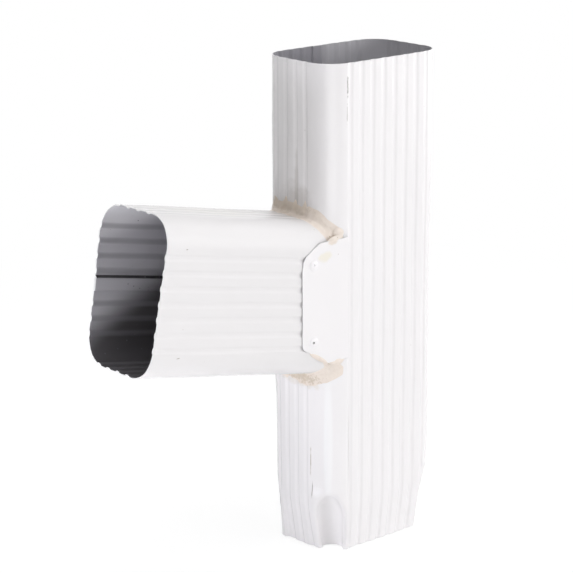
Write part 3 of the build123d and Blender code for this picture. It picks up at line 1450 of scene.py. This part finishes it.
class SharedEffects:
    """The node groups that more than one finish uses."""

    speck_core: float = 0.6
    stain_core: float = 0.45

    def __init__(self) -> None:
        """Build each group once."""
        self.mottle = self.build_mottle()
        self.relief = self.build_relief()
        self.specks = self.build_specks()
        self.stain = self.build_stain()
        self.fade = self.build_fade()

    @staticmethod
    def start(name: str, inputs: dict, output: tuple = ("Float", "Mask")) -> tuple:
        """Start a group that works on a place, and return its wiring and its inputs' outputs."""
        inputs["Vector"] = ["Vector", *inputs.get("Vector", [])]
        return Wiring.start("ShaderNodeTree", name, inputs, output)[:2]

    def build_mottle(self) -> bpy.types.NodeTree:
        """Build the group that gives soft patches, from 0 to 1.

        Returns:
            The group.
        """
        wires, source = self.start("mottle", {"Float": ["Scale", "Seed", "Low", "High"]})
        noise = wires.add("ShaderNodeTexNoise", {
            "Vector": source["Vector"], "W": source["Seed"], "Scale": source["Scale"], "Detail": 5.0,
        }, noise_dimensions="4D")
        return wires.end(wires.band(noise, source["Low"], source["High"]))

    def build_relief(self) -> bpy.types.NodeTree:
        """Build the group that gives the fine waviness of a coated surface as a normal.

        Returns:
            The group.
        """
        numbers = {"Float": ["Scale", "Strength", "Depth"]}
        wires, source = self.start("relief", numbers, ("Vector", "Normal"))
        noise = wires.add("ShaderNodeTexNoise", {
            "Vector": source["Vector"], "Scale": source["Scale"], "Detail": 3.0,
        })
        return wires.end(wires.add("ShaderNodeBump", {
            "Strength": source["Strength"], "Distance": source["Depth"], "Height": noise,
        }))

    def build_specks(self) -> bpy.types.NodeTree:
        """Build the group that strews small specks of uneven size.

        Returns:
            The group.
        """
        wires, source = self.start("specks", {"Float": ["Scale", "Share", "Size"]})
        cells = wires.add("ShaderNodeTexVoronoi", {"Vector": source["Vector"], "Scale": source["Scale"]})
        chance = wires.add("ShaderNodeSeparateColor", {"Color": cells.outputs["Color"]}).outputs
        picked = wires.math("LESS_THAN", chance["Red"], source["Share"])
        size = wires.math("MULTIPLY", chance["Green"], source["Size"])
        inside = wires.band(cells.outputs["Distance"], size, wires.math("MULTIPLY", size, self.speck_core))
        return wires.end(wires.math("MULTIPLY", picked, inside))

    def build_fade(self) -> bpy.types.NodeTree:
        """Build the group that eases from 0 to 1 along a line from its start.

        Returns:
            The group.
        """
        wires, source = self.start("fade", {"Vector": ["Start", "Along"]})
        off = wires.vector("SUBTRACT", source["Vector"], source["Start"])
        return wires.end(wires.band(wires.vector("DOT_PRODUCT", off, source["Along"]), 0.0, 1.0))

    def build_stain(self) -> bpy.types.NodeTree:
        """Build the group that gives one soft-edged, ragged patch about a place.

        Returns:
            The group.
        """
        inputs = {"Vector": ["Centre", "Reach"], "Float": ["Raggedness", "Scale"]}
        wires, source = self.start("stain", inputs)
        off = wires.vector("SUBTRACT", source["Vector"], source["Centre"])
        far = wires.vector("LENGTH", wires.vector("DIVIDE", off, source["Reach"]))
        noise = wires.add("ShaderNodeTexNoise", {
            "Vector": source["Vector"], "Scale": source["Scale"], "Detail": 4.0,
        })
        rough = wires.math("MULTIPLY", wires.math("SUBTRACT", noise, 0.5), source["Raggedness"])
        return wires.end(wires.band(wires.math("ADD", far, rough), 1.0, self.stain_core))


@dataclass(frozen=True)
class Patch:
    """One mark on a finish, such as a stain, a painted shade or a painted highlight: where it lies, how far
    it reaches and its colour, in millimetres.
    """

    centre: tuple
    reach: tuple
    shade: tuple
    strength: float
    raggedness: float = 0.8
    scale: float = 300.0

    def inputs(self) -> dict:
        """Return what the stain group is filled with for this mark."""
        centre, reach = in_metres(self.centre), in_metres(self.reach)
        return {"Centre": centre, "Reach": reach, "Raggedness": self.raggedness, "Scale": self.scale}


@dataclass(frozen=True)
class Fade:
    """Painted light and shade: a finish changing to another shade between two places, in millimetres."""

    start: tuple
    end: tuple
    shade: tuple
    strength: float = 1.0

    def inputs(self) -> dict:
        """Return what the fade group is filled with for this change."""
        path = (Vector(self.end) - Vector(self.start)) * MM
        return {"Start": in_metres(self.start), "Along": tuple(path / path.length_squared)}


@dataclass(frozen=True)
class Finish:
    """A coated or bare surface with patches, specks and marks, with painted shade and light in its fades,
    its rib and fold marks and some patches.
    """

    name: str
    shade: tuple
    roughness: float
    cloud_shade: tuple = (0.8, 0.8, 0.8)
    cloud_scale: float = 22.0
    cloud_share: float = 0.3
    cloud_low: float = 0.42
    cloud_high: float = 0.72
    speck_shade: tuple = (0.25, 0.22, 0.2)
    speck_share: float = 0.0
    speck_scale: float = 160.0
    speck_size: float = 0.28
    relief_scale: float = 500.0
    relief_strength: float = 0.1
    relief_depth: float = 0.0004
    metallic: float = 0.0
    seed: float = 1.0
    # Painted shade along the ribs inside a tube.
    painted_rib_shade: tuple = (0.2, 0.2, 0.2)
    painted_rib_share: float = 0.0
    # Painted shadow in the crevice beside the lock seam's fold.
    painted_fold_shadow: tuple = (0.01, 0.01, 0.01)
    painted_fold_shadow_share: float = 0.0
    patches: tuple = ()
    # Painted light and shade, each changing along a line.
    painted_shade_and_light_fades: tuple = ()

    def make(self, effects: SharedEffects) -> bpy.types.Material:
        """Build the material.

        Args:
            effects: The shared node groups.

        Returns:
            The new material.
        """
        material = bpy.data.materials.new(self.name)
        material.use_nodes = True
        wires = Wiring(material.node_tree)
        place = wires.add("ShaderNodeTexCoord").outputs["Object"]
        clouds = wires.effect(effects.mottle, {
            "Vector": place, "Scale": self.cloud_scale, "Seed": self.seed,
            "Low": self.cloud_low, "High": self.cloud_high,
        })
        colour = wires.cover((*self.shade, 1.0), self.cloud_shade, clouds, self.cloud_share)
        # Painted light and shade, changing along a line.
        for fade in self.painted_shade_and_light_fades:
            mask = wires.effect(effects.fade, {"Vector": place, **fade.inputs()})
            colour = wires.cover(colour, fade.shade, mask, fade.strength)
        # Painted shade along the ribs and painted shadow in the lock seam's crevice, from marks kept on the
        # points.
        marks = (("rib", self.painted_rib_shade, self.painted_rib_share), ("fold", self.painted_fold_shadow, self.painted_fold_shadow_share))
        for mark, shade, share in marks:
            if share > 0:
                mask = wires.add("ShaderNodeAttribute", attribute_name=mark).outputs["Fac"]
                colour = wires.cover(colour, shade, mask, share)
        for patch in self.patches:
            mask = wires.effect(effects.stain, {"Vector": place, **patch.inputs()})
            colour = wires.cover(colour, patch.shade, mask, patch.strength)
        if self.speck_share > 0:
            mask = wires.effect(effects.specks, {
                "Vector": place, "Scale": self.speck_scale,
                "Share": self.speck_share, "Size": self.speck_size,
            })
            colour = wires.cover(colour, self.speck_shade, mask)
        normal = wires.effect(effects.relief, {
            "Vector": place, "Scale": self.relief_scale,
            "Strength": self.relief_strength, "Depth": self.relief_depth,
        })
        wires.fill(wires.tree.nodes["Principled BSDF"], {
            "Base Color": colour, "Normal": normal, "Roughness": self.roughness, "Metallic": self.metallic,
        })
        return material


@dataclass(frozen=True)
class Lamp:
    """One rectangular lamp of the studio, with its size in metres and its power in watts."""

    name: str
    place: tuple
    aim: tuple
    size: tuple
    power: float
    shade: tuple = (1.0, 1.0, 1.0)
    mirrored: bool = True

    def hang(self) -> None:
        """Add the lamp to the scene."""
        data = bpy.data.lights.new(self.name, "AREA")
        data.shape = "RECTANGLE"
        data.size, data.size_y = self.size
        data.energy = self.power
        data.color = self.shade
        lamp = bpy.data.objects.new(self.name, data)
        lamp.location = self.place
        lamp.rotation_mode = "QUATERNION"
        lamp.rotation_quaternion = (Vector(self.aim) - Vector(self.place)).to_track_quat("-Z", "Y")
        lamp.visible_glossy = self.mirrored
        bpy.context.scene.collection.objects.link(lamp)


@dataclass(frozen=True)
class Studio:
    """A white table, lit from the right and above, with light thrown back from low on the left."""

    ambient: float = 0.02
    table_reach: float = 2.5
    table_drop: float = 0.0006
    table_white: tuple = (0.86, 0.86, 0.86, 1.0)
    table_faint: tuple = (0.3, 0.3, 0.3, 1.0)
    table_glow: float = 0.82
    shadow_from: float = 0.35
    shadow_to: float = 0.8
    lamps: tuple = (
        Lamp("key", (1.0, -1.7, 0.45), (0.0, 0.0, 0.18), (1.4, 1.2), 20.7, mirrored=False),
        Lamp("top", (0.1, -0.2, 1.8), (0.0, 0.0, 0.1), (1.6, 1.6), 18.4),
        Lamp("right", (1.8, -0.4, 0.3), (0.0, 0.0, 0.18), (1.4, 0.6), 7.6),
        Lamp("behind", (0.7, 1.9, 0.3), (0.0, 0.0, 0.18), (1.4, 0.5), 14.0, mirrored=False),
        Lamp("left_high", (-1.4, -0.6, 1.3), (-0.05, 0.0, 0.2), (1.0, 1.0), 4.8),
        Lamp("table_left", (-0.95, 0.0, 0.002), (-0.95, 0.0, 1.0), (1.3, 1.8), 2.0),
        Lamp(
            "table_near_left", (-0.58, 0.03, 0.03), (-0.054, 0.0, 0.08), (0.3, 0.12), 1.1,
            shade=(0.93, 0.94, 1.0),
        ),
        Lamp("table_front_left", (-0.75, -0.8, 0.03), (-0.15, 0.03, 0.22), (0.7, 0.3), 3.1),
    )

    def make_table(self) -> bpy.types.Object:
        """Lay the table under the part, white to the camera but for the part's shadow.

        Returns:
            The table's object.
        """
        reach, low = self.table_reach, -self.table_drop
        corners = [(-reach, -reach, low), (reach, -reach, low), (reach, reach, low), (-reach, reach, low)]
        mesh = bpy.data.meshes.new("table")
        mesh.from_pydata(corners, [], [(0, 1, 2, 3)])
        material = bpy.data.materials.new("white_table")
        material.use_nodes = True
        material.node_tree.nodes.clear()
        wires = Wiring(material.node_tree)
        plain = wires.add("ShaderNodeBsdfDiffuse", {"Color": self.table_white})
        faint = wires.add("ShaderNodeBsdfDiffuse", {"Color": self.table_faint})
        glow = wires.add("ShaderNodeEmission", {"Color": WHITE, "Strength": self.table_glow})
        near = wires.add("ShaderNodeAddShader", {0: faint, 1: glow})
        white = wires.add("ShaderNodeEmission", {"Color": WHITE, "Strength": 1.0})
        away = wires.vector("LENGTH", wires.add("ShaderNodeTexCoord").outputs["Object"])
        far = wires.band(away, self.shadow_from, self.shadow_to)
        seen = wires.add("ShaderNodeMixShader", {0: far, 1: near, 2: white})
        look = wires.add("ShaderNodeMixShader", {0: wires.seen_plainly(), 1: plain, 2: seen})
        wires.add("ShaderNodeOutputMaterial", {"Surface": look})
        mesh.materials.append(material)
        table = bpy.data.objects.new("table", mesh)
        bpy.context.scene.collection.objects.link(table)
        return table

    def make_world(self) -> None:
        """Set the room's light: white to the camera and in reflections, dimmer as a lamp."""
        world = bpy.data.worlds.new("studio")
        bpy.context.scene.world = world
        world.use_nodes = True
        wires = Wiring(world.node_tree)
        strength = wires.math("MULTIPLY_ADD", wires.seen_plainly(), 1.0 - self.ambient, self.ambient)
        wires.fill(world.node_tree.nodes["Background"], {"Color": WHITE, "Strength": strength})

    def build(self) -> None:
        """Set up the table, the room and the lamps."""
        self.make_table()
        self.make_world()
        for lamp in self.lamps:
            lamp.hang()


@dataclass(frozen=True)
class PhotoCamera:
    """The camera that took the photograph, as fitted to the tube's outlines."""

    aim: Vector = Vector((-0.0345, 0.0315, 0.1831))
    azimuth: float = math.radians(-40.26)
    elevation: float = math.radians(16.37)
    roll: float = math.radians(-0.39)
    distance: float = 1.3337
    lens: float = 117.44
    clip_start: float = 0.05
    clip_end: float = 20.0

    def place(self) -> None:
        """Make the camera and set it as the scene's own."""
        back = Vector((
            math.sin(self.azimuth) * math.cos(self.elevation),
            -math.cos(self.azimuth) * math.cos(self.elevation),
            math.sin(self.elevation),
        ))
        data = bpy.data.cameras.new("photo_camera")
        data.lens = self.lens
        data.clip_start, data.clip_end = self.clip_start, self.clip_end
        camera = bpy.data.objects.new("photo_camera", data)
        camera.rotation_mode = "QUATERNION"
        camera.rotation_quaternion = Quaternion(back, self.roll) @ (-back).to_track_quat("-Z", "Y")
        camera.location = self.aim + back * self.distance
        bpy.context.scene.collection.objects.link(camera)
        bpy.context.scene.camera = camera


class Finishes:
    """All finishes of the part, as materials."""

    def __init__(self, effects: SharedEffects) -> None:
        """Make each material once.

        Args:
            effects: The shared node groups.
        """
        grime = (0.30, 0.26, 0.21)
        main_stains_and_painted_light = (
            Patch((-54, -2, 248), (9, 22, 24), grime, 0.34, 0.6, 120.0),
            # Painted shade: the narrow wall above the branch darker towards its back.
            Patch((-54, 20, 310), (9, 24, 110), (0.66, 0.65, 0.65), 0.45, 0.3, 60.0),
            # Painted highlight: a near-white strip down the lower front left corner, along its crease.
            Patch((-48.6, -29.0, 84), (4.4, 4.4, 62), (0.98, 0.975, 0.985), 0.9, 0.0),
            Patch((-54, -2, 262), (9, 3, 34), grime, 0.26, 0.9, 90.0),
            Patch((-54, -15.9, 70), (3, 0.5, 13), (0.4, 0.34, 0.26), 0.7, 1.2, 240.0),
            Patch((-54, -17.3, 48), (3, 0.5, 9), (0.3, 0.27, 0.25), 0.7, 1.2, 240.0),
            Patch((-36.4, -35.5, 336), (0.7, 3, 9), (0.3, 0.28, 0.27), 0.75, 1.9, 420.0),
            Patch((-36.8, -35.5, 318), (0.5, 3, 9), (0.45, 0.42, 0.4), 0.6, 1.9, 420.0),
            Patch((-57, -35.5, 223), (7, 3, 4.5), (0.88, 0.83, 0.70), 0.6, 0.9, 160.0),
            Patch((-50, -35.5, 232), (5, 3, 2.5), (0.80, 0.68, 0.55), 0.6, 0.9, 200.0),
            Patch((24.7, -35.5, 142.8), (0.8, 3, 0.7), (0.6, 0.57, 0.55), 0.5),
            Patch((-54, -6, 126), (9, 24, 5), (0.74, 0.66, 0.54), 0.3, 1.5, 200.0),
        )
        branch_stains_and_painted_shade = (
            Patch((-181.7, -34.9, 178.2), (1.6, 3, 0.4), grime, 0.6),
            Patch((-172.5, -34.9, 248.8), (1.0, 3, 0.4), grime, 0.6),
            # Painted shade: the top of the branch near its mouth a little darker, against the light that
            # falls on it.
            Patch((-120, 0, 258), (60, 18, 12), (0.84, 0.82, 0.78), 0.4, 1.2, 60.0),
        )
        enamel = {
            "roughness": 0.26, "cloud_share": 0.1,
            "speck_share": 0.004, "speck_shade": (0.6, 0.56, 0.54), "speck_scale": 400.0,
        }
        main_paint = Finish(
            "main_enamel", (0.93, 0.91, 0.922), cloud_shade=(0.92, 0.90, 0.91), seed=2.0,
            patches=main_stains_and_painted_light, **enamel,
        ).make(effects)
        branch_paint = Finish(
            "branch_enamel", (0.855, 0.838, 0.845), cloud_shade=(0.85, 0.835, 0.84), seed=5.0,
            patches=branch_stains_and_painted_shade, **enamel,
        ).make(effects)
        # Painted light and shade inside the upright: its back coat is the branch's coat painted lighter,
        # painted darker on the narrow wall's side of x = 1 mm, and a little darker along the ribs.
        main_back = Finish(
            "main_back_coat", (0.66, 0.65, 0.685), 0.4, cloud_shade=(0.6, 0.59, 0.62), seed=7.0,
            painted_rib_share=0.06, painted_shade_and_light_fades=(Fade((1.6, 35, 340), (0.6, 35, 340), (0.46, 0.45, 0.49)),),
        ).make(effects)
        # Painted light and shade inside the branch: dark bands along the ribs, a black line in the seam's
        # crevice, a lighter top zone, and a nearly black lower, deeper zone that ends along a slant as a
        # cast shadow.
        branch_back = Finish(
            "branch_back_coat", (0.51, 0.5, 0.535), 0.4,
            cloud_shade=(0.44, 0.43, 0.46), cloud_scale=40.0, seed=8.0,
            painted_rib_share=0.5, painted_rib_shade=(0.22, 0.215, 0.235), painted_fold_shadow_share=0.95, speck_share=0.16,
            speck_shade=(0.2, 0.2, 0.22), speck_scale=420.0,
            painted_shade_and_light_fades=(
                Fade((-168, 35, 243), (-170, 35, 256), (0.70, 0.69, 0.72)),
                Fade((-176.6, 35, 210.3), (-165.4, 35, 185.9), (0.075, 0.07, 0.075), 0.96),
            ),
        ).make(effects)
        cut_edge = Finish("cut_edge", (0.75, 0.75, 0.76), 0.4, metallic=0.4, seed=9.0).make(effects)
        self.main_sheet = [main_paint, main_back, cut_edge]
        self.branch_sheet = [branch_paint, branch_back, cut_edge]
        self.sealant = Finish(
            "sealant", (0.86, 0.775, 0.705), 0.5, cloud_shade=(0.77, 0.68, 0.60), cloud_scale=190.0,
            cloud_share=0.6, speck_share=0.12, speck_shade=(0.5, 0.41, 0.3), speck_scale=500.0,
            relief_scale=700.0, relief_strength=0.4, seed=11.0,
            patches=(
                Patch((-55, 6, 252), (8, 30, 8), (0.54, 0.46, 0.36), 0.5, 1.2, 260.0),
                Patch((-55, -3, 131), (8, 24, 6), (0.52, 0.43, 0.31), 0.55, 2.8, 560.0),
            ),
        ).make(effects)
        self.rivet_paint = Finish("rivet_paint", (0.935, 0.915, 0.935), 0.3, seed=13.0).make(effects)
        self.hole = Finish("mandrel_hole", (0.38, 0.37, 0.36), 0.6, seed=15.0).make(effects)


class DownpipeBranch:
    """The whole part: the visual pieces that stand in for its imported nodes."""

    def __init__(self, finishes: Finishes) -> None:
        """Set out the sub-assemblies.

        Args:
            finishes: The part's materials.
        """
        self.finishes = finishes
        self.tube = MainTube()
        self.branch = BranchTube()
        self.flaps = (Flap(facing=-1), Flap(facing=1))
        self.rivets = Rivets()
        self.runs = (
            SealantRun(Level.UPPER, rise=8.0, run=6.5, front_run=7.5, tongue=3.5, seed=21),
            SealantRun(Level.LOWER, rise=9.5, run=6.0, front_run=24.0, tongue=1.5, seed=37),
        )
        self.dabs = {
            Level.UPPER: (
                Dab((-42.3, -31.6, 236.6), (5.2, 3.8, 4.6), 0.3),
                Dab((-47.5, -34.7, 233.7), (6.5, 1.1, 2.2), 0.15),
            ),
            Level.LOWER: (
                Dab((-62.5, -35.0, 152.2), (9.5, 1.0, 1.7), -0.56),
                Dab((-45.0, -33.4, 146.4), (7.5, 2.35, 3.6), 0.0),
            ),
        }

    def make_tube(self) -> bpy.types.Object:
        """Make the upright tube with its window and flaps as one object.

        Returns:
            The tube's object.
        """
        sheet = self.finishes.main_sheet
        body = self.tube.make(sheet)
        Window(self.branch, self.flaps[0]).cut(body)
        plates = []
        for flap in self.flaps:
            points, faces, skins = flap.shell(self.tube.outline)
            plates.append(make_object("flap", points, faces, sheet, skins))
        with bpy.context.temp_override(active_object=body, selected_editable_objects=[body, *plates]):
            bpy.ops.object.join()
        return body

    def make_branch(self) -> bpy.types.Object:
        """Make the branch tube."""
        return self.branch.make(self.finishes.branch_sheet)

    def make_sealant(self, run: SealantRun, lumps: LumpTree) -> bpy.types.Object:
        """Make one run of sealant.

        Args:
            run: The run's sizes.
            lumps: The tree that makes it lumpy.

        Returns:
            The run's object.
        """
        points, faces, free = run.shell(self.tube, self.branch)
        for dab in self.dabs[run.level]:
            dab_points, dab_faces, dab_free = dab.shell()
            faces = faces + [tuple(number + len(points) for number in face) for face in dab_faces]
            points, free = np.concatenate([points, dab_points]), np.concatenate([free, dab_free])
        piece = make_object(f"{run.level.name.lower()}_smear", points, faces)
        mark_points(piece, "free", free)
        lumps.apply(piece, run.lump_depth * MM, run.seed, self.finishes.sealant)
        return piece

    def build(self) -> None:
        """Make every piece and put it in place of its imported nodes."""
        lumps = LumpTree()
        upper, lower = (self.make_sealant(run, lumps) for run in self.runs)
        rivets = self.rivets.build(self.finishes.rivet_paint, self.finishes.hole)
        settled = (
            (self.make_tube(), ("main_tube",), "main_enamel"),
            (self.make_branch(), ("branch_tube",), "branch_enamel"),
            (upper, ("upper_sealant",), "sealant"),
            (lower, ("lower_sealant",), "sealant"),
            (rivets, tuple(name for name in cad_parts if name.endswith("_rivet")), "rivet_paint"),
        )
        for piece, nodes, slot in settled:
            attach(piece, "root")
            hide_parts(*nodes)
            LOG.info("%s: %d faces in place of %s", piece.name, len(piece.data.polygons), ", ".join(nodes))


def main() -> None:
    """Build the part, its studio and the camera."""
    logging.basicConfig(level=logging.INFO, format="%(name)s: %(message)s")
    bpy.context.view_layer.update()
    bpy.context.scene.view_settings.view_transform = "Standard"
    effects = SharedEffects()
    DownpipeBranch(Finishes(effects)).build()
    Studio().build()
    PhotoCamera().place()


if __name__ == "__main__":
    main()
